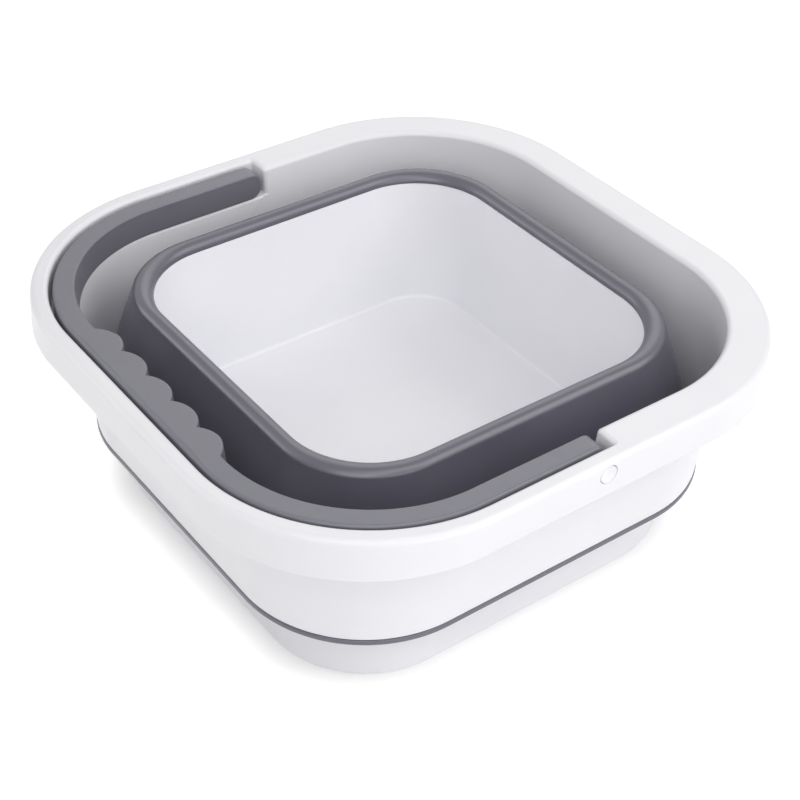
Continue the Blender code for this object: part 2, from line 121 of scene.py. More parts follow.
def plug(value, socket):
    """Links a field to an input, or sets the input to a plain value."""
    if isinstance(value, Field):
        value.tree.links.new(value.socket, socket)
    else:
        socket.default_value = value


def node(tree, kind, inputs=(), output=0, **settings):
    """Adds a node and returns one of its outputs. inputs pairs its inputs' names or numbers with values."""
    made = tree.nodes.new(kind)
    for name, value in settings.items():
        setattr(made, name, value)
    for key, value in dict(inputs).items():
        plug(value, made.inputs[key])
    return Field(tree, made.outputs[output])


def coordinates(vector):
    """The three parts of a vector field."""
    parts = vector.tree.nodes.new("ShaderNodeSeparateXYZ")
    plug(vector, parts.inputs[0])
    return [Field(vector.tree, socket) for socket in parts.outputs]


def start_tree(name, inputs):
    """A Geometry Nodes tree that takes a geometry and these inputs, and a dictionary of them as fields."""
    tree = bpy.data.node_groups.new(name, "GeometryNodeTree")
    tree.interface.new_socket("Geometry", in_out="INPUT", socket_type="NodeSocketGeometry")
    for label, kind in inputs.items():
        tree.interface.new_socket(label, in_out="INPUT", socket_type="NodeSocket" + kind)
    tree.interface.new_socket("Geometry", in_out="OUTPUT", socket_type="NodeSocketGeometry")
    group_in = tree.nodes.new("NodeGroupInput")
    return tree, {socket.name: Field(tree, socket) for socket in group_in.outputs if socket.name}


def end_tree(tree, geometry, finish):
    """Closes a tree: instances made real, smooth faces and the piece's finish."""
    real = node(tree, "GeometryNodeRealizeInstances", {0: geometry})
    smooth = node(tree, "GeometryNodeSetShadeSmooth", {0: real})
    finished = node(tree, "GeometryNodeSetMaterial", {"Geometry": smooth, "Material": finish})
    plug(finished, tree.nodes.new("NodeGroupOutput").inputs[0])


def moved_to(tree, geometry, x, y, z):
    place = node(tree, "ShaderNodeCombineXYZ", {0: x, 1: y, 2: z})
    return node(tree, "GeometryNodeSetPosition", {"Geometry": geometry, "Position": place})


def read_point(tree, geometry, index):
    """The place of one of a geometry's points, as three fields."""
    inputs = {"Geometry": geometry, "Value": node(tree, "GeometryNodeInputPosition"), "Index": index}
    return coordinates(node(tree, "GeometryNodeSampleIndex", inputs, data_type="FLOAT_VECTOR"))


def shell_tree():
    """Sweeps a section round a square with round corners.

    The section's points are (half width, corner axis, height). The axis is how far out the corners'
    centres are.
    """
    tree, given = start_tree("round_square_shell", {"Corner Steps": "Int", "Finish": "Material"})
    rows = node(tree, "GeometryNodeAttributeDomainSize", {"Geometry": given["Geometry"]}, "Point Count")
    per_corner = given["Corner Steps"] + 1
    grid = node(tree, "GeometryNodeMeshGrid", {"Vertices X": per_corner * 4 + 1, "Vertices Y": rows})
    index = node(tree, "GeometryNodeInputIndex")
    column = ((index + 0.5) / rows).math("FLOOR")
    half, axis, height = read_point(tree, given["Geometry"], index - column * rows)
    quarter = ((column + 0.5) / per_corner).math("FLOOR")
    share = (column - quarter * per_corner) / given["Corner Steps"]
    angle = (quarter + share) * (math.pi / 2)
    middle = (quarter + 0.5) * (math.pi / 2)
    x = middle.math("COSINE").math("SIGN") * axis + (half - axis) * angle.math("COSINE")
    y = middle.math("SINE").math("SIGN") * axis + (half - axis) * angle.math("SINE")
    shaped = moved_to(tree, grid, x, y, height)
    merged = node(tree, "GeometryNodeMergeByDistance", {"Geometry": shaped, "Distance": MERGE_WITHIN})
    end_tree(tree, merged, given["Finish"])
    return tree


def web_tree():
    """Upright plates across a hollow, evenly along each side of the bucket and one at each corner.

    The four points given are the inner and outer outlines at the foot, then at the top, as in shell_tree.
    """
    inputs = {"Per Side": "Int", "Spacing": "Float", "Thickness": "Float", "Finish": "Material"}
    tree, given = start_tree("webs", inputs)
    group = given["Per Side"] + 1
    index = node(tree, "GeometryNodeInputIndex")
    position = node(tree, "GeometryNodeInputPosition")
    points = node(tree, "GeometryNodePoints", {"Count": group * 4})
    numbered = node(tree, "GeometryNodeStoreNamedAttribute", {0: points, "Name": "web", "Value": index})
    cube = node(tree, "GeometryNodeMeshCube", {"Size": (2, 2, 2)})
    stored = {0: cube, "Name": "place", "Value": position}
    placed = node(tree, "GeometryNodeStoreNamedAttribute", stored, data_type="FLOAT_VECTOR")
    copies = node(tree, "GeometryNodeInstanceOnPoints", {"Points": numbered, "Instance": placed})
    real = node(tree, "GeometryNodeRealizeInstances", {0: copies})
    web = node(tree, "GeometryNodeInputNamedAttribute", {"Name": "web"})
    place = node(tree, "GeometryNodeInputNamedAttribute", {"Name": "place"}, data_type="FLOAT_VECTOR")
    out, across, up = coordinates(place)

    quarter = ((web + 0.5) / group).math("FLOOR")
    number = web - quarter * group
    at_corner = (number + 0.5).math("GREATER_THAN", given["Per Side"])
    on_side = at_corner * -1 + 1
    shift = (number - (given["Per Side"] - 1) / 2) * given["Spacing"] * on_side
    half, axis, height = read_point(tree, given["Geometry"], (out + 1) / 2 + up + 1)
    past = (shift.math("ABSOLUTE") - axis).math("MAXIMUM", 0)
    corner = half - axis
    side_reach = axis + (corner * corner - past * past).math("SQRT")
    corner_reach = axis * math.sqrt(2) + corner
    reach = side_reach * on_side + corner_reach * at_corner
    turn = (quarter + at_corner / 2) * (math.pi / 2)
    along = shift + across * given["Thickness"] / 2
    x = turn.math("COSINE") * reach - turn.math("SINE") * along
    y = turn.math("SINE") * reach + turn.math("COSINE") * along
    end_tree(tree, moved_to(tree, real, x, y, height), given["Finish"])
    return tree


def points_mesh(points):
    """A mesh of bare points, for a tree to read in order."""
    mesh = bpy.data.meshes.new("points")
    mesh.from_pydata([tuple(point) for point in points], [], [])
    return mesh


def new_object(name, mesh):
    piece = bpy.data.objects.new(name, mesh)
    bpy.context.scene.collection.objects.link(piece)
    return piece


def settle(piece):
    """Makes what a piece's modifiers show its plain mesh."""
    evaluated = piece.evaluated_get(bpy.context.evaluated_depsgraph_get())
    mesh = bpy.data.meshes.new_from_object(evaluated)
    piece.modifiers.clear()
    piece.data = mesh
    return piece


def grow(name, mesh, tree, **inputs):
    """The plain object that a tree makes of a mesh. An input's name has _ for each space."""
    piece = new_object(name, mesh)
    modifier = piece.modifiers.new(name, "NODES")
    modifier.node_group = tree
    for item in tree.interface.items_tree:
        key = item.name.replace(" ", "_")
        if item.in_out == "INPUT" and key in inputs:
            modifier[item.identifier] = inputs[key]
    return settle(piece)


def cut_or_join(piece, operation, *helpers):
    """Cuts helper objects out of a piece, or joins them to it, and removes them."""
    for helper in helpers:
        modifier = piece.modifiers.new(helper.name, "BOOLEAN")
        modifier.operation = operation
        modifier.solver = "MANIFOLD"
        modifier.object = helper
    settle(piece)
    for helper in helpers:
        bpy.data.objects.remove(helper)


def crisp(piece):
    """Smooth shading over the small steps of round edges, with flat faces and sharp edges kept."""
    piece.data.shade_smooth()
    piece.data.set_sharp_from_angle(angle=SMOOTH_UP_TO)
    modifier = piece.modifiers.new("flat_faces", "WEIGHTED_NORMAL")
    modifier.mode = "FACE_AREA"
    modifier.keep_sharp = True


def rounded(corners):
    """A section for shell_tree, with its corners (half width, axis, height, rounding) made arcs."""
    points = []
    for i, (half, axis, height, rounding) in enumerate(corners):
        if not rounding:
            points.append((half, axis, height))
            continue
        here = Vector((half, height))
        neighbours = (corners[i - 1], corners[(i + 1) % len(corners)])
        ways = [Vector((other[0], other[2])) - here for other in neighbours]
        opening = ways[0].angle(ways[1])
        start = rounding / math.tan(opening / 2)
        inward = (ways[0].normalized() + ways[1].normalized()).normalized()
        centre = here + inward * rounding / math.sin(opening / 2)
        spokes = [here + way.normalized() * start - centre for way in ways]
        axes = [axis + (other[1] - axis) * start / way.length for way, other in zip(ways, neighbours)]
        turn = math.pi - opening
        steps = max(LEAST_ARC_STEPS, math.ceil(turn / ARC_STEP))
        for step in range(steps + 1):
            t = step / steps
            spoke = (spokes[0] * math.sin(turn * (1 - t)) + spokes[1] * math.sin(turn * t)) / math.sin(turn)
            points.append((centre.x + spoke.x, axes[0] * (1 - t) + axes[1] * t, centre.y + spoke.y))
    return points


def between(a, b, share):
    return a + (b - a) * share


def tub_outer(z):
    """Half width and corner axis of the tub's outer wall, on its outside, at a height."""
    share = z / TUB_HEIGHT
    return between(FOOT_HALF, TUB_EDGE_HALF, share), between(FOOT_AXIS, TUB_EDGE_AXIS, share)


def tub_inner(z):
    """Half width and corner axis of the bowl's wall, on its inside, at a height."""
    share = (z - TUB_FLOOR_LEVEL) / (TUB_HEIGHT - TUB_FLOOR_LEVEL)
    return between(TUB_FLOOR_HALF, TUB_MOUTH_HALF, share), between(TUB_FLOOR_AXIS, TUB_MOUTH_AXIS, share)


def object_noise(tree, size, detail=2.0):
    """Noise in the object's own space, with spots about this many metres across."""
    place = node(tree, "ShaderNodeTexCoord", output="Object")
    inputs = {"Vector": place, "Scale": 1 / size, "Detail": detail}
    return node(tree, "ShaderNodeTexNoise", inputs)


def from_noise(noise, low, high):
    """The middle range of a noise, stretched to run from low to high."""
    least, most = NOISE_MIDDLE
    inputs = {"Value": noise, "From Min": least, "From Max": most, "To Min": low, "To Max": high}
    return node(noise.tree, "ShaderNodeMapRange", inputs)


def plastic(name, colours, roughness, grain, waves, gloss=0.5):
    """A moulded plastic: two near colours in clouds, a spread of roughness, a fine grain and slow waves.

    grain and waves are each a spot size and a depth in metres, and gloss is the strength of reflections.
    """
    made = bpy.data.materials.new(name)
    made.use_nodes = True
    tree = made.node_tree
    shader = tree.nodes["Principled BSDF"].inputs
    shader["Specular IOR Level"].default_value = gloss
    clouds = from_noise(object_noise(tree, CLOUD_SIZE), 0, 1)
    ends = {0: clouds, 6: (*colours[0], 1), 7: (*colours[1], 1)}
    plug(node(tree, "ShaderNodeMix", ends, 2, data_type="RGBA"), shader["Base Color"])
    plug(from_noise(object_noise(tree, SHEEN_SIZE, detail=4), *roughness), shader["Roughness"])
    slow_height = object_noise(tree, waves[0], detail=0)
    slow = node(tree, "ShaderNodeBump", {"Height": slow_height, "Distance": waves[1]})
    fine = {"Height": object_noise(tree, grain[0]), "Distance": grain[1], "Normal": slow}
    plug(node(tree, "ShaderNodeBump", fine), shader["Normal"])
    return made


SHELL = shell_tree()
WEBS = web_tree()

white_finish = plastic(
    "white_polypropylene",
    colours=((0.876, 0.874, 0.906), (0.894, 0.892, 0.924)),
    roughness=(0.28, 0.34),
    grain=(0.0025, 0.0000015),
    waves=(0.03, 0.00004),
)

under_floor = TUB_FLOOR_LEVEL - TUB_FLOOR_THICKNESS
under_edge = TUB_HEIGHT - TUB_WALL
bowl_low = tub_inner(under_floor)
bowl_high = tub_inner(under_edge)
skirt_high = tub_outer(under_edge)
tub_section = rounded(
    [
        (0, 0, under_floor, 0),
        (bowl_low[0] + TUB_WALL, bowl_low[1], under_floor, TUB_FLOOR_FILLET + TUB_WALL),
        (bowl_high[0] + TUB_WALL, bowl_high[1], under_edge, TUB_EDGE_ROUNDING),
        (skirt_high[0] - TUB_WALL, skirt_high[1], under_edge, TUB_EDGE_ROUNDING),
        (FOOT_HALF - TUB_WALL, FOOT_AXIS, 0, TUB_EDGE_ROUNDING),
        (FOOT_HALF, FOOT_AXIS, 0, FOOT_ROUNDING),
        (TUB_EDGE_HALF, TUB_EDGE_AXIS, TUB_HEIGHT, TUB_EDGE_ROUNDING),
        (TUB_MOUTH_HALF, TUB_MOUTH_AXIS, TUB_HEIGHT, TUB_EDGE_ROUNDING),
        (TUB_FLOOR_HALF, TUB_FLOOR_AXIS, TUB_FLOOR_LEVEL, TUB_FLOOR_FILLET),
        (0, 0, TUB_FLOOR_LEVEL, 0),
    ]
)
tub = grow("tub_moulding", points_mesh(tub_section), SHELL, Corner_Steps=CORNER_STEPS, Finish=white_finish)

web_ends = []
for z in (TUB_FLOOR_LEVEL, under_edge - TUB_WEB_TOP_GAP):
    for (half, axis), way in ((tub_inner(z), 1), (tub_outer(z), -1)):
        web_ends.append((half + way * TUB_WALL / 2, axis, z))
tub_webs = grow(
    "tub_webs",
    points_mesh(web_ends),
    WEBS,
    Per_Side=TUB_WEBS_PER_SIDE,
    Spacing=TUB_WEB_SPACING,
    Thickness=TUB_WEB_THICKNESS,
    Finish=white_finish,
)
cut_or_join(tub, "UNION", tub_webs)
crisp(tub)
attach(tub, "base")
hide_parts("base_tub")

# Sleeve
# One moulding in grey soft elastomer, bonded over the tub's edge and under the rim's wall. Its crest is the
# rounded grey edge of the bowl, and its hem is the stripe below the rim.

HEM_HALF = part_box("fold_sleeve")[1].x
HEM_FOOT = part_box("fold_sleeve")[0].z
HEM_AXIS = 0.0621
HEM_HEIGHT = 0.0030
HEM_TOP = HEM_FOOT + HEM_HEIGHT
HEM_PROUD = 0.0004
HEM_ROUNDING = 0.0009
BOND_GAP = 0.0003
RIM_WALL = 0.0022
SLEEVE_WALL = 0.0018
CREST_RADIUS = 0.0048
CREST_SLOPE = math.radians(20)
CREST_OVERLAP = 0.0070
CREST_STEPS = 24
SLEEVE_STEPS = 30

sleeve_finish = plastic(
    "grey_elastomer",
    colours=((0.084, 0.081, 0.110), (0.094, 0.091, 0.122)),
    roughness=(0.30, 0.35),
    grain=(0.0003, 0.000003),
    waves=(0.02, 0.00005),
    gloss=0.9,
)

seat = TUB_HEIGHT + BOND_GAP
crest = []
for step in range(CREST_STEPS + 1):
    angle = between(CREST_SLOPE, math.pi, step / CREST_STEPS)
    spoke = CREST_RADIUS * Vector((math.cos(angle), math.sin(angle)))
    crest.append(Vector((TUB_MOUTH_HALF + CREST_RADIUS, seat)) + spoke)
root = Vector((HEM_HALF - HEM_PROUD - RIM_WALL - BOND_GAP, HEM_TOP))
drop = (crest[0].y - root.y) / 2
bend = crest[0] + Vector((drop * math.tan(CREST_SLOPE), -drop))
outside = []
for step in range(SLEEVE_STEPS):
    t = step / SLEEVE_STEPS
    outside.append(root * (1 - t) ** 2 + bend * 2 * t * (1 - t) + crest[0] * t**2)
grip_z = TUB_HEIGHT - CREST_OVERLAP
grip_half, grip_axis = tub_outer(grip_z)


def wall_axis(z):
    return between(HEM_AXIS, TUB_EDGE_AXIS, (z - HEM_TOP) / (grip_z - HEM_TOP))


def crest_axis(half):
    """The corner axis moves out from the tub's mouth to its outer wall under the crest."""
    share = min(max((half - TUB_MOUTH_HALF) / (TUB_EDGE_HALF - TUB_MOUTH_HALF), 0), 1)
    return between(TUB_MOUTH_AXIS, TUB_EDGE_AXIS, share)


hem_inside = root.x - SLEEVE_WALL
sleeve_section = rounded(
    [
        (hem_inside, HEM_AXIS, HEM_FOOT, 0),
        (HEM_HALF, HEM_AXIS, HEM_FOOT, HEM_ROUNDING),
        (HEM_HALF, HEM_AXIS, HEM_TOP, HEM_ROUNDING),
        (root.x, HEM_AXIS, HEM_TOP, 0),
    ]
)
sleeve_section += [(point.x, wall_axis(point.y), point.y) for point in outside[1:]]
sleeve_section += [(point.x, crest_axis(point.x), point.y) for point in crest]
sleeve_section.append((TUB_EDGE_HALF + BOND_GAP, TUB_EDGE_AXIS, seat))
sleeve_section.append((grip_half + BOND_GAP, grip_axis, grip_z))
for point in reversed(outside[1:]):
    if point.y < grip_z - 2 * SLEEVE_WALL:
        sleeve_section.append((point.x - SLEEVE_WALL, wall_axis(point.y), point.y))
sleeve_section.append(sleeve_section[0])
sleeve = grow(
    "sleeve_moulding", points_mesh(sleeve_section), SHELL, Corner_Steps=CORNER_STEPS, Finish=sleeve_finish
)
crisp(sleeve)
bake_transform(sleeve)
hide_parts("fold_sleeve")

# Rim frame
# One moulding in white polypropylene: a flat flange with an outer skirt, and a tapered wall inside it. A
# recess for the handle runs round one half of the flange, and webs stiffen the channel below.

RIM_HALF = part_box("rim_frame")[1].x
RIM_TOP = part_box("rim_frame")[1].z
WALL_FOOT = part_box("rim_frame")[0].z
CORNER_AXIS = 0.0585
FLANGE_WIDTH = 0.0205
MOUTH_HALF = RIM_HALF - FLANGE_WIDTH
WALL_FOOT_HALF = HEM_HALF - HEM_PROUD
WALL_DRAFT = (MOUTH_HALF + RIM_WALL - WALL_FOOT_HALF) / (RIM_TOP - WALL_FOOT)
SKIRT_DRAFT = 0.0014
SKIRT_HALF = RIM_HALF - SKIRT_DRAFT
SKIRT_AXIS = 0.0656
SKIRT_DEPTH = 0.0208
SKIRT_FOOT = RIM_TOP - SKIRT_DEPTH
LIP_WIDTH = 0.0086
RECESS_HALF = RIM_HALF - LIP_WIDTH
RECESS_DEPTH = 0.0157
LEDGE = RIM_TOP - RECESS_DEPTH
RIM_EDGE_ROUNDING = 0.0030
MOUTH_ROUNDING = 0.0030
SKIRT_FOOT_ROUNDING = 0.0007
WALL_FOOT_ROUNDING = 0.0003
RIM_INSIDE_ROUNDING = 0.0008
RECESS_END = 0.0095
LIP_EDGE = 0.0024
RECESS_END_EDGE = 0.0022
LEDGE_EDGE = 0.0010
RECESS_FILLET = 0.0010
RECESS_CORNER = 0.0012
RECESS_MOUTH_EDGE = 0.0020
CUTTER_MARGIN = 0.0030
CUTTER_FLARE = 1.5
CUTTER_STEP = 0.0001
FILLET_ANGLES = range(0, 91, 15)
LIP_ANGLES = range(0, 79, 6)
RIM_WEB_THICKNESS = 0.0016
RIM_WEBS_PER_SIDE = 3
RIM_WEB_SPACING = 0.0450
RIM_WEB_RISE = 0.0020
BAIL_STEP = 0.0015

BAR_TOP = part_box("carry_handle")[1].z
BAR_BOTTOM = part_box("carry_handle")[0].z
PIVOT_HEIGHT = (BAR_TOP + BAR_BOTTOM) / 2
BAR_GAP = 0.0020
BAR_OUTER_HALF = RECESS_HALF - BAR_GAP
BAR_WIDTH = 0.0107
BAR_MIDDLE = BAR_OUTER_HALF - BAR_WIDTH / 2
BAIL_BEND = (BAR_MIDDLE - CORNER_AXIS) * math.pi / 2
BAIL_REACH = 2 * CORNER_AXIS + BAIL_BEND

PIN_RADIUS = 0.0030
PIN_GAP = 0.0003
PIN_HEAD_RADIUS = 0.0045
PIN_HEAD_THICKNESS = 0.0018
PIN_HEAD_GAP = 0.0003
PIN_SUNK = 0.0002
PIN_BOSS_WALL = 0.0018
HOLE_EDGE = 0.0004
HOLE_EDGE_PROUD = HOLE_EDGE / 4
PIN_STEPS = 64


def bend_tree():
    """Bends what is modelled straight round the rim's outline.

    Straight, X is the distance along the bail from the grip's middle, Y the half width and Z the height.
    """
    inputs = {"Corner Axis": "Float", "Bend": "Float", "Finish": "Material"}
    tree, given = start_tree("bend_along_bail", inputs)
    distance, half, height = coordinates(node(tree, "GeometryNodeInputPosition"))
    axis = given["Corner Axis"]
    along = distance.math("ABSOLUTE")
    turn = ((along - axis) / given["Bend"]).math("MAXIMUM", 0).math("MINIMUM", 1) * (math.pi / 2)
    rest = (along - axis - given["Bend"]).math("MAXIMUM", 0)
    x = rest - axis - (half - axis) * turn.math("COSINE")
    y = distance.math("SIGN") * (along.math("MINIMUM", axis) + (half - axis) * turn.math("SINE"))
    end_tree(tree, moved_to(tree, given["Geometry"], x, y, height), given["Finish"])
    return tree


BEND = bend_tree()


def skin(rings):
    """A closed mesh stretched over rings of points, each with as many, and filled at both ends."""
    mesh = bmesh.new()
    rows = [[mesh.verts.new(point) for point in ring] for ring in rings]
    caps = [mesh.faces.new(reversed(rows[0])), mesh.faces.new(rows[-1])]
    bmesh.ops.triangulate(mesh, faces=caps)
    for low, high in zip(rows, rows[1:]):
        for i in range(len(low)):
            j = (i + 1) % len(low)
            mesh.faces.new((low[i], low[j], high[j], high[i]))
    bmesh.ops.recalc_face_normals(mesh, faces=mesh.faces[:])
    made = bpy.data.meshes.new("skin")
    mesh.to_mesh(made)
    mesh.free()
    return made


def bent(name, mesh, finish):
    return grow(name, mesh, BEND, Corner_Axis=CORNER_AXIS, Bend=BAIL_BEND, Finish=finish)


def evenly(start, end, step):
    """Numbers from start to end, both included, about a step apart."""
    count = max(1, round(abs(end - start) / step))
    return [between(start, end, i / count) for i in range(count + 1)]


def straight_bar(reach, inner, outer, low, high):
    """A long box for the bend, with a section at each step along it."""
    section = ((inner, low), (outer, low), (outer, high), (inner, high))
    return skin([[(x, half, z) for half, z in section] for x in evenly(-reach, reach, BAIL_STEP)])


def arc_points(x, y, radius_x, radius_y, start, end, steps=6):
    angles = [math.radians(between(start, end, step / steps)) for step in range(steps + 1)]
    return [(x + radius_x * math.cos(angle), y + radius_y * math.sin(angle)) for angle in angles]


def mouth_inside(z):
    """Half width of the rim's wall on its inside, at a height, with the round edge at the top."""
    into_edge = min(max(z - RIM_TOP + MOUTH_ROUNDING, 0), MOUTH_ROUNDING)
    recession = MOUTH_ROUNDING - math.sqrt(MOUTH_ROUNDING**2 - into_edge**2)
    return MOUTH_HALF - (RIM_TOP - z) * WALL_DRAFT + recession


def recess_ring(z, side_offset, end_offset, inner_half, inner_z):
    """The handle recess's outline at a level, its side and its ends moved out by an offset.

    Its inner side lies in the open mouth.
    """
    plain_reach = BAIL_REACH + RECESS_END
    reach = plain_reach + end_offset
    mouth = mouth_inside(z)
    edge = RECESS_MOUTH_EDGE
    end = [(reach + 2 * edge, mouth - edge)]
    end += arc_points(reach + edge, mouth + edge, edge, edge, 260, 180)
    corner = (plain_reach - RECESS_CORNER, RECESS_HALF - RECESS_CORNER)
    end += arc_points(*corner, RECESS_CORNER + end_offset, RECESS_CORNER + side_offset, 0, 90)
    other_end = [(-x, y) for x, y in reversed(end)]
    far_side = [(x, RECESS_HALF + side_offset) for x in evenly(corner[0], -corner[0], BAIL_STEP)]
    ring = [(x, inner_half, inner_z) for x in evenly(edge - plain_reach, plain_reach - edge, BAIL_STEP)]
    return ring + [(x, y, z) for x, y in end + far_side[1:-1] + other_end]


def recess_cutter():
    """What the recess takes away: a fillet at its foot, an upright wall and a rounded upper edge."""
    ledge_mouth = mouth_inside(LEDGE)
    levels = []
    for angle in FILLET_ANGLES:
        rise = 1 - math.cos(math.radians(angle))
        inset = 1 - math.sin(math.radians(angle))
        past_edge = CUTTER_STEP if angle == 90 else 0
        inner = (ledge_mouth + LEDGE_EDGE * inset - past_edge, LEDGE - LEDGE_EDGE * rise)
        offset = -RECESS_FILLET * inset
        levels.append((LEDGE + RECESS_FILLET * rise, offset, offset, *inner))
    inside = ledge_mouth - CUTTER_MARGIN
    for angle in LIP_ANGLES:
        share = 1 - math.cos(math.radians(angle))
        z = RIM_TOP - LIP_EDGE * (1 - math.sin(math.radians(angle)))
        levels.append((z, LIP_EDGE * share, RECESS_END_EDGE * share, inside, LEDGE - 2 * LEDGE_EDGE))
    above = RIM_TOP + CUTTER_MARGIN
    levels.append((above, CUTTER_FLARE * LIP_EDGE, CUTTER_FLARE * RECESS_END_EDGE, inside, above))
    return skin([recess_ring(*level) for level in levels])


def turned(profile, side):
    """A round mesh about the pins' axis, from (radius, reach from the bucket's middle) at one side of it."""
    rings = []
    for radius, reach in profile:
        circle = arc_points(0, PIVOT_HEIGHT, radius, radius, 0, 360, PIN_STEPS)[:-1]
        rings.append([(x, side * reach, z) for x, z in circle])
    return skin(rings)


def wall_outer(z):
    """Half width and corner axis of the rim's tapered wall, on its outside, at a height."""
    share = (z - WALL_FOOT) / (RIM_TOP - RIM_WALL - WALL_FOOT)
    return between(WALL_FOOT_HALF, MOUTH_HALF + RIM_WALL, share), between(HEM_AXIS, CORNER_AXIS, share)


def skirt_outer(z):
    """Half width and corner axis of the skirt, on its outside, at a height."""
    top = RIM_TOP - RIM_EDGE_ROUNDING
    share = (top - z) / (top - SKIRT_FOOT)
    return between(RIM_HALF, SKIRT_HALF, share), between(CORNER_AXIS, SKIRT_AXIS, share)


rim_section = rounded(
    [
        (SKIRT_HALF, SKIRT_AXIS, SKIRT_FOOT, SKIRT_FOOT_ROUNDING),
        (RIM_HALF, CORNER_AXIS, RIM_TOP, RIM_EDGE_ROUNDING),
        (MOUTH_HALF, CORNER_AXIS, RIM_TOP, MOUTH_ROUNDING),
        (WALL_FOOT_HALF - RIM_WALL, HEM_AXIS, WALL_FOOT, WALL_FOOT_ROUNDING),
        (WALL_FOOT_HALF, HEM_AXIS, WALL_FOOT, WALL_FOOT_ROUNDING),
        (MOUTH_HALF + RIM_WALL, CORNER_AXIS, RIM_TOP - RIM_WALL, RIM_INSIDE_ROUNDING),
        (RIM_HALF - RIM_WALL, CORNER_AXIS, RIM_TOP - RIM_WALL, RIM_INSIDE_ROUNDING),
        (SKIRT_HALF - RIM_WALL, SKIRT_AXIS, SKIRT_FOOT, WALL_FOOT_ROUNDING),
    ]
)
rim_section.append(rim_section[0])
rim = grow("rim_moulding", points_mesh(rim_section), SHELL, Corner_Steps=CORNER_STEPS, Finish=white_finish)

web_ends = []
for z in (SKIRT_FOOT + RIM_WEB_RISE, RIM_TOP - RIM_WALL / 2):
    for half, axis in (wall_outer(z), skirt_outer(z)):
        web_ends.append((half - RIM_WALL / 2, axis, z))
rim_webs = grow(
    "rim_webs",
    points_mesh(web_ends),
    WEBS,
    Per_Side=RIM_WEBS_PER_SIDE,
    Spacing=RIM_WEB_SPACING,
    Thickness=RIM_WEB_THICKNESS,
    Finish=white_finish,
)
trough_foot = LEDGE - RIM_WALL
trough = straight_bar(
    BAIL_REACH + RECESS_END + RIM_WALL,
    wall_outer(trough_foot)[0] - RIM_WALL / 2,
    RECESS_HALF + RIM_WALL,
    trough_foot,
    RIM_TOP - RIM_WALL / 2,
)
cut_or_join(rim, "UNION", rim_webs, bent("recess_trough", trough, white_finish))

pin_face = skirt_outer(PIVOT_HEIGHT)[0]
hole_radius = PIN_HEAD_RADIUS + PIN_HEAD_GAP
boss_half = hole_radius + PIN_BOSS_WALL
hole_seat = pin_face - PIN_SUNK - PIN_HEAD_THICKNESS - PIN_HEAD_GAP
hole = [
    (PIN_RADIUS + PIN_GAP, RECESS_HALF - RIM_WALL),
    (PIN_RADIUS + PIN_GAP, hole_seat),
    (hole_radius, hole_seat),
    (hole_radius, pin_face - HOLE_EDGE),
    (hole_radius + HOLE_EDGE, pin_face + HOLE_EDGE_PROUD),
    (hole_radius + HOLE_EDGE, pin_face + RIM_WALL),
]
bosses = []
holes = []
for side in (1, -1):
    rings = []
    for reach in (RECESS_HALF + RIM_WALL / 2, pin_face - RIM_WALL / 2):
        low, high = PIVOT_HEIGHT - boss_half, RIM_TOP - RIM_WALL / 2
        box = ((-boss_half, low), (boss_half, low), (boss_half, high), (-boss_half, high))
        rings.append([(x, side * reach, z) for x, z in box])
    bosses.append(new_object("pin_boss", skin(rings)))
    holes.append(new_object("pin_hole", turned(hole, side)))
cut_or_join(rim, "UNION", *bosses)
cut_or_join(rim, "DIFFERENCE", bent("handle_recess", recess_cutter(), white_finish), *holes)
crisp(rim)
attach(rim, "rim")
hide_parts("rim_frame")

# Pins
# Two white moulded pins, each pushed in through the skirt's boss into the handle's end. Only the round head
# shows, with a shallow dish in its face.

PIN_HEAD_ROUNDING = 0.0003
PIN_HEAD_DISH = 0.0008
PIN_HEAD_BORDER = 0.0004
DISH_STEPS = 8
PIN_POLE_RADIUS = 0.0001
PIN_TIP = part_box("pivot_pin_back")[0].y

head_face = pin_face - PIN_SUNK
head_back = head_face - PIN_HEAD_THICKNESS
dish_radius = PIN_HEAD_RADIUS - PIN_HEAD_BORDER
for name, cad_node, side in (("front_pin", "pivot_pin_front", -1), ("back_pin", "pivot_pin_back", 1)):
    profile = rounded(
        [
            (0, 0, PIN_TIP, 0),
            (PIN_RADIUS, 0, PIN_TIP, PIN_HEAD_ROUNDING),
            (PIN_RADIUS, 0, head_back, 0),
            (PIN_HEAD_RADIUS, 0, head_back, 0),
            (PIN_HEAD_RADIUS, 0, head_face, PIN_HEAD_ROUNDING),
            (dish_radius, 0, head_face, 0),
        ]
    )
    for step in range(1, DISH_STEPS + 1):
        share = 1 - step / DISH_STEPS
        depth = PIN_HEAD_DISH * (1 - share**2)
        profile.append((dish_radius * share, 0, head_face - depth))
    outline = [(max(radius, PIN_POLE_RADIUS), reach) for radius, _, reach in profile]
    pin = new_object(name, turned(outline, side))
    pin.data.materials.append(white_finish)
    crisp(pin)
    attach(pin, "rim")
    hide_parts(cad_node)

# Handle
# A bail in grey polypropylene with a fine-grained face, bent to the rim's outline. Five finger bumps stand
# in from its inner edge, and it is cored with pockets from below.

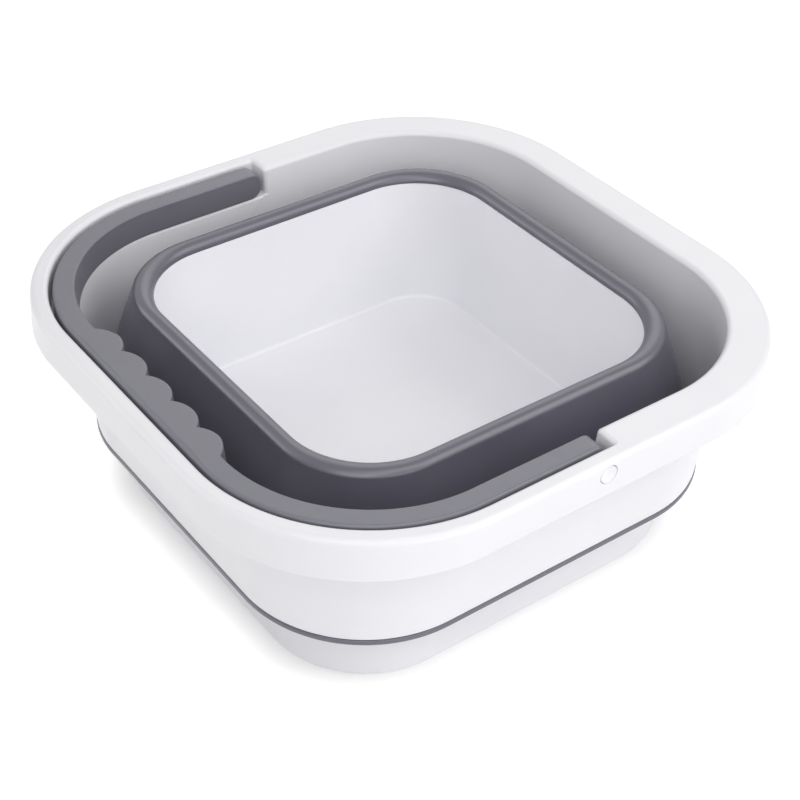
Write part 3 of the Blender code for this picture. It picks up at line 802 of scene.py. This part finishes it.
BAR_EDGE_OUTER = 0.0018
BAR_EDGE_INNER = 0.0008
BAR_EYE_WALL = 0.0032
BAR_END_REACH = PIN_RADIUS + PIN_GAP + BAR_EYE_WALL
BAR_END_SQUARENESS = 2.8
BAR_END_RUN = 0.0220
BUMP_COUNT = 5
BUMP_PITCH = 0.0225
BUMP_HEIGHT = 0.0050
GRIP_SWELL = 0.0017
STEPS_PER_BUMP = 30
BAR_STEP = BUMP_PITCH / STEPS_PER_BUMP
POCKET_COUNT = 18
POCKET_RIB = 0.0018
POCKET_SKIN = 0.0026
POCKET_WALL = 0.0024
POCKET_FROM_PIVOT = 0.0140
POCKET_STEP = 2 * BAIL_STEP
PIN_SKIN = 0.0024

handle_finish = plastic(
    "grey_grained_plastic",
    colours=((0.162, 0.160, 0.190), (0.172, 0.170, 0.201)),
    roughness=(0.36, 0.44),
    grain=(0.0005, 0.00001),
    waves=(0.02, 0.00003),
    gloss=0.7,
)


def bar_tree():
    """The straight bar, from section points (half width, share of the bumps, height above the pivot).

    The inner face drafts with height. Past each pin the section turns about the pivot and closes the bar's
    end: a little square at the top, and round below, where it turns over the ledge. The section is the same
    above and below, so that its two halves meet there. The end takes up End Run of the grid's length.
    """
    inputs = {
        "Reach": "Float",
        "Step": "Float",
        "End Run": "Float",
        "End Radius": "Float",
        "End Reach": "Float",
        "Pivot Height": "Float",
        "Draft": "Float",
        "Bumps": "Int",
        "Pitch": "Float",
        "Bump Height": "Float",
        "Swell": "Float",
        "Finish": "Material",
    }
    tree, given = start_tree("bail_bar", inputs)
    rows = node(tree, "GeometryNodeAttributeDomainSize", {"Geometry": given["Geometry"]}, "Point Count")
    half_count = ((given["Reach"] + given["End Run"]) / given["Step"]).math("CEIL")
    grid = node(tree, "GeometryNodeMeshGrid", {"Vertices X": half_count * 2 + 1, "Vertices Y": rows})
    index = node(tree, "GeometryNodeInputIndex")
    column = ((index + 0.5) / rows).math("FLOOR")
    half, share, above = read_point(tree, given["Geometry"], index - column * rows)
    distance = (column - half_count) * given["Step"]
    along = distance.math("ABSOLUTE")
    past = (along - given["Reach"]).math("MAXIMUM", 0)
    turn = (past / given["End Run"]).math("MINIMUM", 1) * (math.pi / 2)
    sine = turn.math("SINE")
    cosine = turn.math("COSINE").math("MAXIMUM", 0)
    sideways = sine * given["End Radius"] / given["End Reach"]
    powers = cosine.math("POWER", BAR_END_SQUARENESS) + sideways.math("POWER", BAR_END_SQUARENESS)
    square = powers.math("POWER", -1 / BAR_END_SQUARENESS)
    round_below = sideways.math("MAXIMUM", 1).math("POWER", -1)
    upper = above.math("GREATER_THAN", 0)
    reach = above * (square * upper + round_below * (upper * -1 + 1))

    pitch = given["Pitch"]
    grip = given["Bumps"] * pitch / 2
    on_grip = grip.math("GREATER_THAN", along)
    off_bump = (distance + grip).math("MODULO", pitch) - pitch / 2
    height = given["Bump Height"]
    radius = (pitch * pitch / 4 + height * height) / (height * 2)
    bump = (radius * radius - off_bump * off_bump).math("MAXIMUM", 0).math("SQRT") - radius + height
    swell = given["Swell"] * ((grip - along) * 2 / pitch).math("MINIMUM", 1)
    rise = (bump + swell) * on_grip * share

    x = distance.math("SIGN") * (along.math("MINIMUM", given["Reach"]) + reach.math("ABSOLUTE") * sine)
    level = reach * cosine
    draft = (given["End Radius"] - level) * given["Draft"] * share
    shaped = moved_to(tree, grid, x, half - draft - rise, given["Pivot Height"] + level)
    merged = node(tree, "GeometryNodeMergeByDistance", {"Geometry": shaped, "Distance": MERGE_WITHIN})
    end_tree(tree, merged, given["Finish"])
    return tree


bar_reach = (BAR_TOP - BAR_BOTTOM) / 2
bar_inner = BAR_OUTER_HALF - BAR_WIDTH
bar_section = rounded(
    [
        (bar_inner, 1, bar_reach, BAR_EDGE_INNER),
        (BAR_OUTER_HALF, 0, bar_reach, BAR_EDGE_OUTER),
        (BAR_OUTER_HALF, 0, -bar_reach, BAR_EDGE_OUTER),
        (bar_inner, 1, -bar_reach, BAR_EDGE_INNER),
    ]
)
bar_section.append(bar_section[0])
straight = grow(
    "straight_bar",
    points_mesh(bar_section),
    bar_tree(),
    Reach=BAIL_REACH,
    Step=BAR_STEP,
    End_Run=BAR_END_RUN,
    End_Radius=bar_reach,
    End_Reach=BAR_END_REACH,
    Pivot_Height=PIVOT_HEIGHT,
    Draft=WALL_DRAFT,
    Bumps=BUMP_COUNT,
    Pitch=BUMP_PITCH,
    Bump_Height=BUMP_HEIGHT,
    Swell=GRIP_SWELL,
    Finish=handle_finish,
)
bail = bent("bail_handle", straight.data, handle_finish)
bpy.data.objects.remove(straight)

pocket_run = 2 * (BAIL_REACH - POCKET_FROM_PIVOT)
pocket_pitch = (pocket_run + POCKET_RIB) / POCKET_COUNT
pockets = []
section = (
    (bar_inner + POCKET_WALL, BAR_BOTTOM - POCKET_SKIN),
    (BAR_OUTER_HALF - POCKET_WALL, BAR_BOTTOM - POCKET_SKIN),
    (BAR_OUTER_HALF - POCKET_WALL, BAR_TOP - POCKET_SKIN),
    (bar_inner + POCKET_WALL, BAR_TOP - POCKET_SKIN),
)
for i in range(POCKET_COUNT):
    start = i * pocket_pitch - pocket_run / 2
    stations = evenly(start, start + pocket_pitch - POCKET_RIB, POCKET_STEP)
    pocket = skin([[(x, half, z) for half, z in section] for x in stations])
    pockets.append(bent("pocket", pocket, handle_finish))
bore = ((PIN_RADIUS + PIN_GAP, bar_inner + PIN_SKIN), (PIN_RADIUS + PIN_GAP, RECESS_HALF))
bores = [new_object("pin_bore", turned(bore, side)) for side in (1, -1)]
cut_or_join(bail, "DIFFERENCE", *bores, *pockets)
crisp(bail)
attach(bail, "handle")
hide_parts("carry_handle")

# Studio
# A white floor and backdrop under soft lamps, and the camera at the photograph's place. Round the tub's foot
# the floor's glow fades in, seen by the camera and in reflections only, and leaves the lamps' shadow narrow.

FLOOR_HALF = 4.0
FLOOR_GLOW = 0.55
FLOOR_WHITE = (0.9, 0.9, 0.9, 1)
PURE_WHITE = (1, 1, 1, 1)
GLOW_FROM = -0.006
GLOW_FULL_AT = 0.014
AMBIENT = 0.26
LAMP_SIZE = 1.2
LAMP_DISTANCE = 1.9
LAMPS = {
    "front_right": (-45, 38, 9.6),
    "front_left": (-135, 38, 9.2),
    "high_front": (-90, 64, 6.5),
    "low_front": (-90, 12, 7.2),
    "low_back_left": (135, 12, 6.8),
    "back_left": (135, 38, 2.2),
    "back_right": (45, 38, 4.6),
}
AIM = Vector((0, 0, 0.08))

CAMERA_AZIMUTH = math.radians(-36.951)
CAMERA_ELEVATION = math.radians(34.336)
CAMERA_ROLL = math.radians(1.487)
CAMERA_DISTANCE = 0.83534
CAMERA_LENS = 77.664
CAMERA_SHIFT = (0.00397, -0.13652)
CAMERA_CLIP_START = 0.01


def seen_or_mirrored(tree):
    """1 for rays from the camera and for mirrored or refracted ones, and 0 for those that light things."""
    path = tree.nodes.new("ShaderNodeLightPath")
    camera, glossy, through = [
        Field(tree, path.outputs[name]) for name in ("Is Camera Ray", "Is Glossy Ray", "Is Transmission Ray")
    ]
    return camera.math("MAXIMUM", glossy).math("MAXIMUM", through)


floor_finish = bpy.data.materials.new("white_sweep")
floor_finish.use_nodes = True
tree = floor_finish.node_tree
tree.nodes.remove(tree.nodes["Principled BSDF"])
matt = node(tree, "ShaderNodeBsdfDiffuse", {"Color": FLOOR_WHITE})
across, along, _ = coordinates(node(tree, "ShaderNodeTexCoord", output="Object"))
past_x, past_y = [(part.math("ABSOLUTE") - FOOT_AXIS).math("MAXIMUM", 0) for part in (across, along)]
from_foot = (past_x * past_x + past_y * past_y).math("SQRT") - (FOOT_HALF - FOOT_AXIS)
spread = {"Value": from_foot, "From Min": GLOW_FROM, "From Max": GLOW_FULL_AT, "To Max": FLOOR_GLOW}
strength = seen_or_mirrored(tree) * node(tree, "ShaderNodeMapRange", spread)
glow = node(tree, "ShaderNodeEmission", {"Color": PURE_WHITE, "Strength": strength})
plug(node(tree, "ShaderNodeAddShader", {0: matt, 1: glow}), tree.nodes["Material Output"].inputs["Surface"])

floor_mesh = bpy.data.meshes.new("studio_floor")
floor_corners = ((-1, -1), (1, -1), (1, 1), (-1, 1))
floor_points = [(x * FLOOR_HALF, y * FLOOR_HALF, 0) for x, y in floor_corners]
floor_mesh.from_pydata(floor_points, [], [(0, 1, 2, 3)])
floor_mesh.materials.append(floor_finish)
new_object("studio_floor", floor_mesh)

world = bpy.data.worlds.new("studio_world")
world.use_nodes = True
bpy.context.scene.world = world
tree = world.node_tree
seen = seen_or_mirrored(tree)
plug(seen * (1 - AMBIENT) + AMBIENT, tree.nodes["Background"].inputs["Strength"])
plug(PURE_WHITE, tree.nodes["Background"].inputs["Color"])

for name, (azimuth, elevation, power) in LAMPS.items():
    around, above = math.radians(azimuth), math.radians(elevation)
    level = Vector((math.cos(around), math.sin(around), 0)) * math.cos(above)
    way = level + Vector((0, 0, math.sin(above)))
    light = bpy.data.lights.new(name + "_lamp", "AREA")
    light.shape = "SQUARE"
    light.size = LAMP_SIZE
    light.energy = power
    lamp = new_object(name + "_lamp", light)
    lamp.location = AIM + way * LAMP_DISTANCE
    lamp.rotation_euler = (-way).to_track_quat("-Z", "Y").to_euler()

level = Vector((math.cos(CAMERA_AZIMUTH), math.sin(CAMERA_AZIMUTH), 0))
behind = Vector((level.y, -level.x, 0)) * math.cos(CAMERA_ELEVATION)
back = behind + Vector((0, 0, math.sin(CAMERA_ELEVATION)))
upright = back.cross(level)
right = level * math.cos(CAMERA_ROLL) + upright * math.sin(CAMERA_ROLL)
up = upright * math.cos(CAMERA_ROLL) - level * math.sin(CAMERA_ROLL)
camera_data = bpy.data.cameras.new("photo_camera")
camera_data.lens = CAMERA_LENS
camera_data.shift_x, camera_data.shift_y = CAMERA_SHIFT
camera_data.clip_start = CAMERA_CLIP_START
camera = new_object("photo_camera", camera_data)
camera.location = Vector((0, 0, RIM_TOP)) + back * CAMERA_DISTANCE
camera.rotation_euler = Matrix((right, up, back)).transposed().to_euler()
bpy.context.scene.camera = camera
bpy.context.scene.view_settings.view_transform = "Standard"

bpy.context.view_layer.update()
